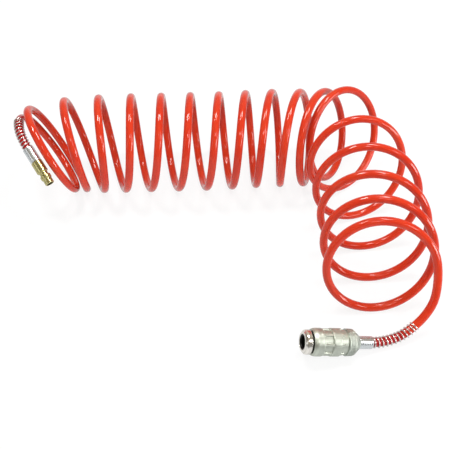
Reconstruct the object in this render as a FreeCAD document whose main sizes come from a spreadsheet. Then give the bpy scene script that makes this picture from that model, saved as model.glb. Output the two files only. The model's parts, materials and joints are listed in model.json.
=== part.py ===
import FreeCAD, Part
import os
import re
import Sketcher
from math import cos, pi, radians, sin, sqrt, tan

Vector = FreeCAD.Vector

# Coiled air hose on a flat surface, in millimetres: Z is up, X runs along the straight row of loops,
# and the origin is on the surface, under the middle of the whole hose.
# A quick coupler ends the hose in front at the right, and its plug ends it at the left.

# Driving dimensions
SIZES = {
    # hose
    "tubeRadius": 4.25,
    "boreRadius": 3.0,
    "coilRadius": 53.5,
    "flatDepth": 0.5,
    "floorReach": 300.0,
    "floorDepth": 20.0,
    "gapStep": 3.0,
    "fineStep": 0.5,
    "hoseGrip": 15.5,
    "firstTurn": 0.3,
    "cornerTurn": 11.24,
    "lastTurn": 17.2,
    # where the hose enters its two ferrules, and how the two fittings point
    "plugX": -203.5,
    "plugY": 58.0,
    "plugZ": 84.5,
    "plugHeading": -49.5,
    "plugRise": -33.5,
    "couplerX": 152.3,
    "couplerY": -144.1,
    "couplerZ": 8.6,
    "couplerHeading": -171.4,
    "couplerRise": 12.8,
    # bend springs on the hose
    "guardWire": 0.62,
    "guardGap": 0.15,
    "guardSeat": 1.6,
    "plugGuardTurns": 11.0,
    "plugGuardLength": 40.5,
    "couplerGuardTurns": 12.0,
    "couplerGuardLength": 49.6,
    # ferrules
    "plugFerruleRadius": 6.1,
    "couplerFerruleRadius": 6.1,
    "ferruleGap": 0.02,
    "ferruleEdge": 0.25,
    "seatDepth": 2.6,
    # plug, counted back from its tip
    "tipRadius": 5.0,
    "tipBore": 3.7,
    "tipEdge": 0.7,
    "tipLength": 6.0,
    "collarRadius": 5.9,
    "collarFront": 7.0,
    "collarBack": 10.4,
    "neckRadius": 4.6,
    "neckFront": 11.3,
    "barrelRadius": 6.25,
    "barrelFront": 15.0,
    "barrelBack": 28.5,
    "boreStepFront": 16.0,
    "boreStepBack": 18.0,
    "plugLength": 46.0,
    # barbed tails inside the hose
    "tailBore": 2.0,
    "barbRoot": 2.6,
    "barbTop": 2.95,
    "barbPitch": 3.0,
    "tailShort": 1.5,
    # nose of the coupler, counted back from its mouth like the rest of the coupler
    "faceRadius": 9.2,
    "faceRound": 0.8,
    "noseSlope": 2.0,
    "noseRound": 2.6,
    "noseRadius": 11.7,
    "mouthRadius": 7.4,
    "mouthDepth": 1.4,
    "bushFront": 0.3,
    "bushEdge": 0.2,
    "guideRadius": 6.35,
    "noseBack": 6.5,
    "spigotFront": 4.5,
    "stopRadius": 10.6,
    "stopThick": 1.0,
    # valve body
    "bodyRadius": 7.8,
    "barrelStop": 11.2,
    "collarBore": 6.0,
    "collarStop": 19.3,
    "stopSlope": 0.9,
    "sealRadius": 5.1,
    "ringGrooveFront": 21.0,
    "ringGrooveBack": 23.2,
    "ringGrooveRadius": 6.6,
    "ringWire": 0.8,
    "seatHeight": 29.0,
    "chamberRadius": 6.5,
    "bodyCollarFront": 34.5,
    "bodyCollarRadius": 11.7,
    "bodyCollarBack": 44.0,
    "threadRadius": 9.5,
    "bodyBack": 51.0,
    # locking balls
    "ballRadius": 1.75,
    "ballCentre": 6.4,
    "ballHeight": 13.3,
    "ballCount": 6.0,
    "ballGap": 0.03,
    "ballHoleRadius": 1.8,
    # grip sleeve
    "sleeveRadius": 13.3,
    "sleeveFront": 8.0,
    "sleeveBack": 38.2,
    "sleeveLand": 18.5,
    "sleeveEdge": 1.2,
    "sleeveTaper": 11.0,
    "sleeveRound": 6.0,
    "coneAngle": 20.0,
    "slideGap": 0.06,
    "springBore": 10.7,
    "skirtFront": 30.2,
    "waistFront": 18.2,
    "waistBack": 27.0,
    "waistDepth": 0.4,
    "gripCount": 8.0,
    "gripAngle": 34.0,
    "gripPhase": 17.0,
    "recessFront": 18.8,
    "recessBack": 26.5,
    "recessFloor": 11.8,
    "notchFront": 35.6,
    "notchFloor": 12.4,
    # valve
    "cupFront": 23.7,
    "cupBack": 26.2,
    "cupRadius": 5.02,
    "cupBore": 2.6,
    "cupFloor": 28.6,
    "stemRadius": 3.5,
    "portHeight": 27.7,
    "portRadius": 0.95,
    "portCount": 6.0,
    "washerRadius": 5.9,
    "washerThick": 1.1,
    "discRadius": 6.0,
    "discBack": 32.0,
    "tailRadius": 2.2,
    "tailBack": 38.0,
    # springs inside the coupler
    "sleeveWire": 0.65,
    "sleeveSpringRadius": 9.75,
    "sleeveSpringTurns": 5.0,
    "valveWire": 0.45,
    "valveSpringRadius": 4.1,
    "valveSpringTurns": 6.0,
    # rear cap and tail
    "capRadius": 13.1,
    "capTaper": 0.3,
    "capRound": 3.0,
    "capRimRadius": 6.6,
    "capHoleRadius": 5.0,
    "capFront": 42.4,
    "capChamferFront": 50.0,
    "capWallFront": 54.0,
    "capBack": 56.6,
    "flangeRadius": 8.0,
    "tailSpigotFront": 47.0,
    "couplerLength": 70.4,
    "smallEdge": 0.5,
    "endGap": 0.05,
    "cutSpare": 2.0,
}

# Stations of the coil: turn, x, y, heading of its axis, and how far its loops lean back.
# The loops run from the plug along the long row, round the corner and along the short row to the front.
STATIONS = (
    (0, -202, 93, 19, 27.4),
    (1, -188, 96, 26, 21),
    (2, -161, 99, 20, 7),
    (4, -98, 103, 11, -4),
    (7, 1, 107, 3, -2),
    (9, 61, 112, -5, 1),
    (10, 92, 113, -12, 3),
    (11, 121, 115, -24, 9),
    (12, 147, 123, -44, 13),
    (13, 158, 71, -72, 7),
    (14, 165, 21, -87, 9),
    (15.5, 165, -45, -94, 13),
    (17.25, 164, -103, -88, 26),
)
STATION_COLUMNS = ("turn", "stationX", "stationY", "heading", "lean")

# Places that the hose passes between its straight ends and the coil
PLUG_ROUTE = (
    (-213.1, 72.2, 95),
    (-216.3, 82.7, 97.8),
    (-218.5, 93.7, 96.7),
    (-220.3, 105.2, 91.5),
    (-222.3, 114.9, 85.1),
    (-222.7, 139.2, 67),
)
COUPLER_ROUTE = (
    (216.1, -111.3, 36.9),
    (206.6, -121.8, 22.4),
    (194.3, -129.5, 12.4),
    (179.5, -137.3, 6.5),
)

doc = FreeCAD.newDocument("coiled_air_hose")
sheet = doc.addObject("Spreadsheet::Sheet", "Sizes")
pieces = []


# Sheet of sizes

def fill_sheet():
    rows = list(SIZES.items())
    for i, station in enumerate(STATIONS):
        rows += [(name + "At" + str(i), value) for name, value in zip(STATION_COLUMNS, station)]
    for name, route in (("plugRoute", PLUG_ROUTE), ("couplerRoute", COUPLER_ROUTE)):
        for i, place in enumerate(route):
            rows += [(name + axis + str(i) + "mm", value) for axis, value in zip("XYZ", place)]
    for row, (alias, value) in enumerate(rows, start=1):
        cell = "B" + str(row)
        sheet.set("A" + str(row), alias)
        sheet.set(cell, str(value))
        sheet.setAlias(cell, alias)
    doc.recompute()


def size(alias):
    return float(sheet.get(alias))


def count(alias):
    return int(round(size(alias)))


def route_from_sheet(name, route):
    return [Vector(*(size(name + axis + str(i) + "mm") for axis in "XYZ")) for i in range(len(route))]


# A length in an outline is a sum of sizes, such as "capFront + endGap" or "-capBack"

def terms(text):
    return re.findall(r"([+-]?)\s*([A-Za-z]\w*|[0-9.]+)", text)


def length(text):
    total = 0.0
    for sign, word in terms(text):
        value = size(word) if word[0].isalpha() else float(word)
        total += -value if sign == "-" else value
    return total


def bound(text):
    return "".join(sign + ("Sizes." + word if word[0].isalpha() else word) for sign, word in terms(text))


# Sketches and bodies

def origin_plane(body, role):
    return next(f for f in body.Origin.OriginFeatures if f.Role == role)


def new_sketch(body, name, role="XZ_Plane"):
    sketch = body.newObject("Sketcher::SketchObject", name)
    sketch.AttachmentSupport = [(origin_plane(body, role), "")]
    sketch.MapMode = "FlatFace"
    return sketch


def pin_point(sketch, geometry, across, along):
    """Ties a line's start to its two sizes, measured from the origin."""
    for text, kind, axis in ((across, "DistanceX", -2), (along, "DistanceY", -1)):
        if abs(length(text)) < 1e-9:
            sketch.addConstraint(Sketcher.Constraint("PointOnObject", geometry, 1, axis))
            continue
        index = sketch.addConstraint(
            Sketcher.Constraint(kind, -1, 1, geometry, 1, length(text)))
        sketch.setExpression("Constraints[%d]" % index, bound(text))


def draw_outline(sketch, outline):
    corners = [Vector(length(across), length(along), 0) for across, along in outline]
    for i, corner in enumerate(corners):
        sketch.addGeometry(Part.LineSegment(corner, corners[(i + 1) % len(corners)]), False)
    for i in range(len(corners)):
        sketch.addConstraint(Sketcher.Constraint("Coincident", i, 2, (i + 1) % len(corners), 1))
    for i, (across, along) in enumerate(outline):
        pin_point(sketch, i, across, along)


def turned_body(name, outline):
    """A body turned about its Z axis from an outline of (radius, height) pairs."""
    body = doc.addObject("PartDesign::Body", name)
    sketch = new_sketch(body, name + "_outline")
    draw_outline(sketch, outline)
    turn = body.newObject("PartDesign::Revolution", name + "_turned")
    turn.Profile = sketch
    turn.ReferenceAxis = (sketch, ["V_Axis"])
    turn.Angle = 360.0
    doc.recompute()
    return body


def ring_edges(shape, radius, height):
    """Names of the round edges of one radius at one height on the Z axis."""
    names = []
    for i, edge in enumerate(shape.Edges, start=1):
        curve = edge.Curve
        if not isinstance(curve, Part.Circle):
            continue
        if abs(curve.Radius - radius) < 1e-3 and abs(curve.Center.z - height) < 1e-3:
            names.append("Edge" + str(i))
    return names


def soften(body, kind, amount, rings):
    """Rounds or chamfers rings, each a (radius, height) pair, by a size from the sheet."""
    base = body.Tip
    names = []
    for radius, height in rings:
        found = ring_edges(base.Shape, length(radius), length(height))
        if not found:
            raise RuntimeError(body.Name + " has no ring at " + radius + ", " + height)
        names += found
    edge_feature = body.newObject("PartDesign::" + kind, body.Name + "_" + kind.lower())
    edge_feature.Base = (base, names)
    edge_feature.setExpression("Radius" if kind == "Fillet" else "Size", "Sizes." + amount)
    doc.recompute()


def repeat_round(body, feature, number):
    pattern = body.newObject("PartDesign::PolarPattern", feature.Name + "_pattern")
    pattern.Originals = [feature]
    pattern.Axis = (origin_plane(body, "Z_Axis"), [""])
    pattern.Angle = 360.0
    pattern.setExpression("Occurrences", "Sizes." + number)
    body.Tip = pattern
    doc.recompute()


def side_holes(body, name, radius, height, depth, number):
    """Round holes through one wall, square to the Z axis, repeated round it."""
    least_cut = 0.5
    sketch = new_sketch(body, name + "_circle")
    middle = Vector(0, length(height), 0)
    sketch.addGeometry(Part.Circle(middle, Vector(0, 0, 1), length(radius)), False)
    sketch.addConstraint(Sketcher.Constraint("PointOnObject", 0, 3, -2))
    place = sketch.addConstraint(Sketcher.Constraint("DistanceY", -1, 1, 0, 3, middle.y))
    sketch.setExpression("Constraints[%d]" % place, bound(height))
    around = sketch.addConstraint(Sketcher.Constraint("Radius", 0, length(radius)))
    sketch.setExpression("Constraints[%d]" % around, bound(radius))
    before = body.Shape.Volume
    pocket = body.newObject("PartDesign::Pocket", name)
    pocket.Profile = sketch
    pocket.setExpression("Length", bound(depth))
    doc.recompute()
    if pocket.Shape.Volume > before - least_cut:
        pocket.Reversed = True
        doc.recompute()
    body.Tip = pocket
    repeat_round(body, pocket, number)


def side_recesses(body, name, outline, width, number):
    """Shallow recesses a few degrees wide, repeated round the body."""
    sketch = new_sketch(body, name + "_outline")
    draw_outline(sketch, outline)
    groove = body.newObject("PartDesign::Groove", name)
    groove.Profile = sketch
    groove.ReferenceAxis = (sketch, ["V_Axis"])
    groove.Midplane = True
    groove.setExpression("Angle", "Sizes." + width)
    doc.recompute()
    body.Tip = groove
    repeat_round(body, groove, number)


def finish_piece(thing, place):
    thing.Placement = place
    thing.Label = thing.Name
    pieces.append(thing)


def shaped_piece(name, shape):
    feature = doc.addObject("Part::Feature", name)
    feature.Shape = shape
    feature.Label = name
    pieces.append(feature)


# Where the two fittings stand

def direction(heading, rise):
    flat = cos(radians(rise))
    return Vector(flat * cos(radians(heading)), flat * sin(radians(heading)), sin(radians(rise)))


def fitting_place(name):
    """The frame of a fitting: Z points out of it, and its origin is at its outer end."""
    entry = Vector(size(name + "X"), size(name + "Y"), size(name + "Z"))
    outward = direction(size(name + "Heading"), size(name + "Rise"))
    level = Vector(0, 0, 1).cross(outward).normalize()
    turned = FreeCAD.Rotation(level, outward.cross(level), outward, "ZXY")
    return FreeCAD.Placement(entry + outward * size(name + "Length"), turned)


# Paths of arcs

def biarc_joint(start, start_way, end, end_way):
    """The point where two arcs meet that leave start and reach end in the given directions."""
    gap = end - start
    both = start_way + end_way
    spread = 2 * (1 - start_way.dot(end_way))
    reach = gap.dot(both)
    if spread < 1e-9:
        arm = gap.dot(gap) / (2 * reach)
    else:
        arm = (sqrt(reach * reach + spread * gap.dot(gap)) - reach) / spread
    return (start + end + (start_way - end_way) * arm) * 0.5


def arc_edge(start, way, end):
    """An arc from start to end that leaves start along way, or a line where it is straight."""
    chord = end - start
    unit = Vector(chord).normalize()
    side = way - unit * way.dot(unit)
    if side.Length < 1e-6:
        return Part.LineSegment(start, end).toShape()
    rise = chord.Length / 2 * (1 - way.dot(unit)) / side.Length
    return Part.Arc(start, start + chord * 0.5 + side.normalize() * rise, end).toShape()


def smooth_wire(nodes):
    """Joins nodes, each a point and a direction, by pairs of tangent arcs."""
    edges = []
    for (start, start_way), (end, end_way) in zip(nodes, nodes[1:]):
        if start_way.cross(end_way).Length < 1e-9 and start_way.cross(end - start).Length < 1e-6:
            edges.append(Part.LineSegment(start, end).toShape())
            continue
        joint = biarc_joint(start, start_way, end, end_way)
        edges.append(arc_edge(start, start_way, joint))
        back = arc_edge(end, end_way * -1, joint)
        middle = back.valueAt((back.FirstParameter + back.LastParameter) / 2)
        edges.append(Part.Arc(joint, middle, end).toShape() if isinstance(back.Curve, Part.Circle)
                     else Part.LineSegment(joint, end).toShape())
    return Part.Wire(edges)


def ring_at(place, way, radius):
    return Part.Wire(Part.Circle(place, way, radius).toShape())


def swept_shell(path, nodes, radius):
    pipe = Part.BRepOffsetAPI.MakePipeShell(path)
    pipe.add(ring_at(nodes[0][0], nodes[0][1], radius))
    pipe.build()
    return pipe


def wire_solid(nodes, radius):
    pipe = swept_shell(smooth_wire(nodes), nodes, radius)
    pipe.makeSolid()
    solid = pipe.shape()
    if solid.Volume < 0:
        solid.reverse()
    return solid


def tube_solid(nodes, outer, inner):
    """A hollow tube: an outer and an inner skin, closed by a flat ring at each end."""
    path = smooth_wire(nodes)
    faces = []
    for radius in (outer, inner):
        pipe = swept_shell(path, nodes, radius)
        faces += pipe.shape().Faces
    for place, way in (nodes[0], nodes[-1]):
        disc = Part.Face(ring_at(place, way, outer))
        faces.append(disc.cut(Part.Face(ring_at(place, way, inner))).Faces[0])
    shell = Part.Shell(faces)
    shell.sewShape()
    solid = Part.Solid(shell)
    if solid.Volume < 0:
        solid.reverse()
    return solid


# Coil

def station_table():
    table = []
    for i in range(len(STATIONS)):
        table.append([size(name + "At" + str(i)) for name in STATION_COLUMNS])
    return table


def between_stations(table, turn):
    """Smooth values of x, y, heading and lean at one turn."""
    last = len(table) - 1
    i = max(k for k in range(last) if table[k][0] <= turn or k == 0)
    here, there = table[i], table[i + 1]
    before, after = table[max(i - 1, 0)], table[min(i + 2, last)]
    step = there[0] - here[0]
    t = (turn - here[0]) / step
    values = []
    for column in range(1, len(here)):
        slope_here = (there[column] - before[column]) / (there[0] - before[0])
        slope_there = (after[column] - here[column]) / (after[0] - here[0])
        values.append(
            (2 * t**3 - 3 * t**2 + 1) * here[column]
            + (t**3 - 2 * t**2 + t) * step * slope_here
            + (3 * t**2 - 2 * t**3) * there[column]
            + (t**3 - t**2) * step * slope_there)
    return values


def coil_point(table, turn):
    """A point on the loops: whole turns are at the top, and half turns touch the surface."""
    x, y, heading, lean = between_stations(table, turn)
    heading, lean, angle = radians(heading), radians(lean), 2 * pi * turn
    radius = size("coilRadius")
    up, side = radius * cos(angle), radius * sin(angle)
    centre = radius * cos(lean) + size("tubeRadius") - size("flatDepth")
    return Vector(
        x - up * sin(lean) * cos(heading) - side * sin(heading),
        y - up * sin(lean) * sin(heading) + side * cos(heading),
        centre + up * cos(lean))


def coil_nodes():
    """Points and directions of the coil at every quarter turn."""
    small = 0.001
    table = station_table()
    first, last = size("firstTurn"), size("lastTurn")
    quarters = int(round((last - first) * 4))
    nodes = []
    for i in range(quarters + 1):
        turn = first + (last - first) * i / quarters
        way = coil_point(table, turn + small) - coil_point(table, turn - small)
        nodes.append((coil_point(table, turn), way.normalize()))
    return nodes


def route_nodes(places):
    """Points of a route, each with the direction between its two neighbours."""
    nodes = []
    for before, here, after in zip(places, places[1:], places[2:]):
        nodes.append((here, (after - before).normalize()))
    return nodes


def straight_at(node, reach):
    """Three nodes in line, so that two stretches of the hose meet square to each other."""
    place, way = node
    return [(place - way * reach, way), node, (place + way * reach, way)]


def hose_stretches():
    """Nodes of the hose's four stretches, from inside the plug's ferrule to inside the coupler's."""
    straight = 2 * size("tubeRadius")
    grip = size("hoseGrip")
    coil = coil_nodes()
    share = (size("cornerTurn") - size("firstTurn")) / (size("lastTurn") - size("firstTurn"))
    corner = int(round(share * (len(coil) - 1)))
    first, middle, last = (straight_at(coil[i], straight) for i in (0, corner, -1))
    leave = direction(size("plugHeading"), size("plugRise")) * -1
    arrive = direction(size("couplerHeading"), size("couplerRise"))
    plug_entry = Vector(size("plugX"), size("plugY"), size("plugZ"))
    coupler_entry = Vector(size("couplerX"), size("couplerY"), size("couplerZ"))
    clear_of_plug = plug_entry + leave * straight
    clear_of_coupler = coupler_entry - arrive * straight
    plug_places = [clear_of_plug] + route_from_sheet("plugRoute", PLUG_ROUTE) + [first[0][0]]
    coupler_places = [last[-1][0]] + route_from_sheet("couplerRoute", COUPLER_ROUTE) + [clear_of_coupler]
    plug_end = [(plug_entry - leave * grip, leave), (clear_of_plug, leave)] + route_nodes(plug_places)
    coupler_end = [(clear_of_coupler, arrive), (coupler_entry + arrive * grip, arrive)]
    return {
        "hose_plug_end": plug_end + first[:2],
        "hose_long_row": first[1:] + coil[1:corner] + middle[:2],
        "hose_short_row": middle[1:] + coil[corner + 1:-1] + last[:2],
        "hose_coupler_end": last[1:] + route_nodes(coupler_places) + coupler_end,
    }


def least_gap(path, radius, step, apart):
    """The least gap between stretches of a round tube that are at least apart along its path."""
    points = [(p.x, p.y, p.z) for p in path.discretize(Distance=step)]
    skip = int(apart / step)
    reach = 5 * radius
    least = reach
    for i, (x, y, z) in enumerate(points):
        for u, v, w in points[i + skip:]:
            if abs(u - x) < reach and abs(v - y) < reach and abs(w - z) < reach:
                least = min(least, sqrt((u - x)**2 + (v - y)**2 + (w - z)**2))
    return least - 2 * radius


def print_form(name, path, radius, step, apart):
    bends = [edge.Curve.Radius for edge in path.Edges if isinstance(edge.Curve, Part.Circle)]
    gap = least_gap(path, radius, step, apart)
    print("%s: length %.0f mm, bends %.1f to %.1f mm, least gap to itself %.2f mm" % (
        name, path.Length, min(bends), max(bends), gap))


def make_hose(stretches):
    """The tube in its four stretches, cut flat where its loops stand on the surface."""
    outer, inner = size("tubeRadius"), size("boreRadius")
    step, apart = size("gapStep"), size("coilRadius")
    reach, depth = size("floorReach"), size("floorDepth")
    below = Part.makeBox(2 * reach, 2 * reach, depth, Vector(-reach, -reach, -depth))
    whole = []
    for name, nodes in stretches.items():
        path = smooth_wire(nodes)
        tube = tube_solid(nodes, outer, inner)
        expected = pi * (outer**2 - inner**2) * path.Length
        print_form(name, path, outer, step, apart)
        print("%s: volume %.0f mm3, section by length %.0f mm3" % (name, tube.Volume, expected))
        shaped_piece(name, tube.cut(below))
        whole += nodes[:-1]
    whole.append(nodes[-1])
    print_form("whole hose", smooth_wire(whole), outer, step, apart)


# Springs

def make_spring(name, place_at, turns, steps_per_turn, wire, place=None):
    """A round wire wound through place_at, which gives the wire's middle at each turn."""
    small = 0.002
    nodes = []
    total = int(round(turns * steps_per_turn))
    for i in range(total + 1):
        turn = turns * i / total
        way = place_at(turn + small) - place_at(turn - small)
        nodes.append((place_at(turn), way.normalize()))
    path = smooth_wire(nodes)
    print_form(name, path, wire, size("fineStep"), path.Length / turns / 2)
    spring = wire_solid(nodes, wire)
    if place is not None:
        spring.Placement = place
    shaped_piece(name, spring)


def guard_spring(name, hose_end, reference, spring_length, turns):
    """A bend spring wound round the end of the hose, with its first curl inside the ferrule."""
    edges = smooth_wire(hose_end).Edges
    start = size("hoseGrip") - size("guardSeat")
    radius = size("tubeRadius") + size("guardGap") + size("guardWire")

    def place_at(turn):
        along = start + spring_length * turn / turns
        edge = edges[0]
        for edge in edges:
            if along <= edge.Length:
                break
            along -= edge.Length
        at = edge.getParameterByLength(along)
        middle, way = edge.valueAt(at), edge.tangentAt(at)
        across = way.cross(reference).normalize()
        angle = 2 * pi * turn
        return middle + across * (radius * cos(angle)) + way.cross(across) * (radius * sin(angle))

    make_spring(name, place_at, turns, 4, size("guardWire"))


def straight_spring(name, radius, wire, front, back, turns, place):
    """A spring round the coupler's axis that fills the space between two depths."""
    rise = back - front - 2 * wire

    def place_at(turn):
        angle = 2 * pi * turn
        return Vector(radius * cos(angle), radius * sin(angle), -front - wire - rise * turn / turns)

    make_spring(name, place_at, turns, 2, wire, place)


# Plug

def barb_outline(front, ridges):
    """Corners of a barbed tail: its ridges are widest towards the fitting."""
    corners = []
    for i in range(ridges):
        lift = " - barbPitch" * i
        corners.append(("barbTop", front + lift))
        corners.append(("barbRoot", front + lift + " - barbPitch"))
    return corners


def make_plug_body(place):
    hose_end = "-plugLength + hoseGrip + endGap"
    tail_end = "-plugLength + tailShort"
    outline = [
        ("tipBore", "0"),
        ("tipRadius - tipEdge", "0"),
        ("tipRadius", "-tipEdge"),
        ("tipRadius", "-tipLength"),
        ("collarRadius", "-collarFront"),
        ("collarRadius", "-collarBack"),
        ("neckRadius", "-neckFront"),
        ("neckRadius", "-barrelFront"),
        ("barrelRadius", "-barrelFront"),
        ("barrelRadius", "-barrelBack"),
        ("tubeRadius", "-barrelBack"),
        ("tubeRadius", hose_end),
    ]
    outline += barb_outline(hose_end, 3)
    outline += [
        ("barbRoot", tail_end),
        ("tailBore", tail_end),
        ("tailBore", "-boreStepBack"),
        ("tipBore", "-boreStepFront"),
    ]
    body = turned_body("plug_body", outline)
    soften(body, "Chamfer", "smallEdge", [("barrelRadius", "-barrelFront"), ("barrelRadius", "-barrelBack")])
    finish_piece(body, place)


def make_ferrule(name, radius, front, back, place):
    """A smooth sleeve over the end of the hose, opened out at its back for the bend spring."""
    inner = "tubeRadius + ferruleGap"
    seat = "tubeRadius + guardGap + guardWire + guardWire + guardGap"
    outline = [
        (inner, front),
        (radius + " - ferruleEdge", front),
        (radius, front + " - ferruleEdge"),
        (radius, back + " + ferruleEdge"),
        (radius + " - ferruleEdge", back),
        (seat, back),
        (seat, back + " + seatDepth"),
        (inner, back + " + seatDepth"),
    ]
    finish_piece(turned_body(name, outline), place)


# Coupler

def make_nose_ring(place):
    outline = [
        ("mouthRadius", "0"),
        ("faceRadius", "0"),
        ("noseRadius", "-noseSlope"),
        ("noseRadius", "-noseBack + smallEdge"),
        ("noseRadius - smallEdge", "-noseBack"),
        ("bodyRadius", "-noseBack"),
        ("bodyRadius", "-spigotFront"),
        ("mouthRadius", "-spigotFront"),
    ]
    body = turned_body("nose_ring", outline)
    soften(body, "Fillet", "noseRound", [("noseRadius", "-noseSlope")])
    soften(body, "Fillet", "faceRound", [("faceRadius", "0")])
    finish_piece(body, place)


def make_guide_bush(place):
    """A dark bush in the mouth, which leads a plug's barrel in and guides it."""
    outline = [
        ("mouthRadius - bushEdge", "-bushFront"),
        ("mouthRadius", "-bushFront"),
        ("mouthRadius", "-spigotFront"),
        ("guideRadius", "-spigotFront"),
        ("guideRadius", "-mouthDepth"),
    ]
    finish_piece(turned_body("guide_bush", outline), place)


def make_stop_ring(place):
    outline = [
        ("bodyRadius", "-noseBack"),
        ("stopRadius", "-noseBack"),
        ("stopRadius", "-noseBack - stopThick"),
        ("bodyRadius", "-noseBack - stopThick"),
    ]
    finish_piece(turned_body("stop_ring", outline), place)


def make_valve_body(place):
    """The body: a guide and stop for the plug, its seal's groove, the valve's seat and chamber."""
    outline = [
        ("guideRadius", "-spigotFront"),
        ("bodyRadius", "-spigotFront"),
        ("bodyRadius", "-bodyCollarFront"),
        ("bodyCollarRadius", "-bodyCollarFront"),
        ("bodyCollarRadius", "-bodyCollarBack"),
        ("threadRadius", "-bodyCollarBack"),
        ("threadRadius", "-bodyBack"),
        ("chamberRadius", "-bodyBack"),
        ("chamberRadius", "-seatHeight"),
        ("sealRadius", "-seatHeight"),
        ("sealRadius", "-ringGrooveBack"),
        ("ringGrooveRadius", "-ringGrooveBack"),
        ("ringGrooveRadius", "-ringGrooveFront"),
        ("sealRadius", "-ringGrooveFront"),
        ("sealRadius", "-collarStop - stopSlope"),
        ("collarBore", "-collarStop"),
        ("collarBore", "-barrelStop"),
        ("guideRadius", "-barrelStop"),
    ]
    body = turned_body("valve_body", outline)
    side_holes(body, "ball_hole", "ballHoleRadius", "-ballHeight", "bodyRadius + cutSpare", "ballCount")
    finish_piece(body, place)


def make_balls(place):
    """Locking balls in the holes of the valve body, part of each standing into the bore."""
    number = count("ballCount")
    for i in range(number):
        ball = doc.addObject("Part::Sphere", "locking_ball_" + str(i + 1))
        ball.setExpression("Radius", "Sizes.ballRadius")
        angle = pi / 2 + 2 * pi * i / number
        out = Vector(cos(angle), sin(angle), 0) * size("ballCentre")
        seat = FreeCAD.Placement(out - Vector(0, 0, size("ballHeight")), FreeCAD.Rotation())
        finish_piece(ball, place.multiply(seat))


def cone_radius(height):
    """Radius of the sleeve's locking cone, which lies on the balls, at a height on the axis."""
    angle = radians(size("coneAngle"))
    reach = size("ballRadius") + size("ballGap")
    return (size("ballCentre") * cos(angle) + reach + (height + size("ballHeight")) * sin(angle)) / cos(angle)


def set_cone_sizes():
    """Adds the cone's front radius and its back height to the sheet."""
    land = size("bodyRadius") + size("slideGap")
    slope = tan(radians(size("coneAngle")))
    front = cone_radius(-size("sleeveFront"))
    back = size("sleeveFront") + (front - land) / slope
    for row, (alias, value) in enumerate((("coneFrontRadius", front), ("coneBack", back)), start=1):
        cell = "D" + str(row)
        sheet.set(cell, "%.4f" % value)
        sheet.setAlias(cell, alias)
    doc.recompute()


def make_sleeve(place):
    """The sleeve: a cone over the balls, a bore for its spring, and a skirt over the body's collar."""
    slide = "bodyRadius + slideGap"
    skirt = "bodyCollarRadius + slideGap"
    outline = [
        ("coneFrontRadius", "-sleeveFront"),
        ("sleeveRadius - sleeveEdge", "-sleeveFront"),
        ("sleeveRadius", "-sleeveTaper"),
        ("sleeveRadius", "-waistFront + smallEdge"),
        ("sleeveRadius - waistDepth", "-waistFront"),
        ("sleeveRadius - waistDepth", "-waistBack"),
        ("sleeveRadius", "-waistBack - smallEdge"),
        ("sleeveRadius", "-sleeveBack + smallEdge"),
        ("sleeveRadius - smallEdge", "-sleeveBack"),
        (skirt, "-sleeveBack"),
        (skirt, "-skirtFront"),
        ("springBore", "-skirtFront"),
        ("springBore", "-sleeveLand"),
        (slide, "-sleeveLand"),
        (slide, "-coneBack"),
    ]
    body = turned_body("grip_sleeve", outline)
    soften(body, "Fillet", "sleeveRound", [("sleeveRadius", "-sleeveTaper")])
    recess = [
        ("recessFloor", "-recessFront"),
        ("sleeveRadius + cutSpare", "-recessFront"),
        ("sleeveRadius + cutSpare", "-recessBack"),
        ("recessFloor", "-recessBack"),
    ]
    side_recesses(body, "grip_recess", recess, "gripAngle", "gripCount")
    notch = [
        ("notchFloor", "-notchFront"),
        ("sleeveRadius + cutSpare", "-notchFront"),
        ("sleeveRadius + cutSpare", "-sleeveBack - cutSpare"),
        ("notchFloor", "-sleeveBack - cutSpare"),
    ]
    side_recesses(body, "grip_notch", notch, "gripAngle", "gripCount")
    phase = FreeCAD.Rotation(Vector(0, 0, 1), size("gripPhase"))
    finish_piece(body, place.multiply(FreeCAD.Placement(Vector(), phase)))


def make_socket_seal(place):
    ring = doc.addObject("Part::Torus", "socket_seal")
    ring.setExpression("Radius1", "Sizes.ringGrooveRadius - Sizes.ringWire - Sizes.endGap")
    ring.setExpression("Radius2", "Sizes.ringWire")
    middle = (size("ringGrooveFront") + size("ringGrooveBack")) / 2
    finish_piece(ring, place.multiply(FreeCAD.Placement(Vector(0, 0, -middle), FreeCAD.Rotation())))


def make_valve(place):
    """The poppet: a cup that the plug pushes, a ported stem, a disc and a guide for its spring."""
    outline = [
        ("cupBore", "-cupFront"),
        ("cupRadius", "-cupFront"),
        ("cupRadius", "-cupBack"),
        ("stemRadius", "-cupBack"),
        ("stemRadius", "-seatHeight - endGap - washerThick"),
        ("discRadius", "-seatHeight - endGap - washerThick"),
        ("discRadius", "-discBack"),
        ("tailRadius", "-discBack"),
        ("tailRadius", "-tailBack"),
        ("0", "-tailBack"),
        ("0", "-cupFloor"),
        ("cupBore", "-cupFloor"),
    ]
    body = turned_body("valve_poppet", outline)
    side_holes(body, "valve_port", "portRadius", "-portHeight", "stemRadius + cutSpare", "portCount")
    finish_piece(body, place)
    washer = [
        ("stemRadius", "-seatHeight - endGap"),
        ("washerRadius", "-seatHeight - endGap"),
        ("washerRadius", "-seatHeight - endGap - washerThick"),
        ("stemRadius", "-seatHeight - endGap - washerThick"),
    ]
    finish_piece(turned_body("valve_seal", washer), place)


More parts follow.
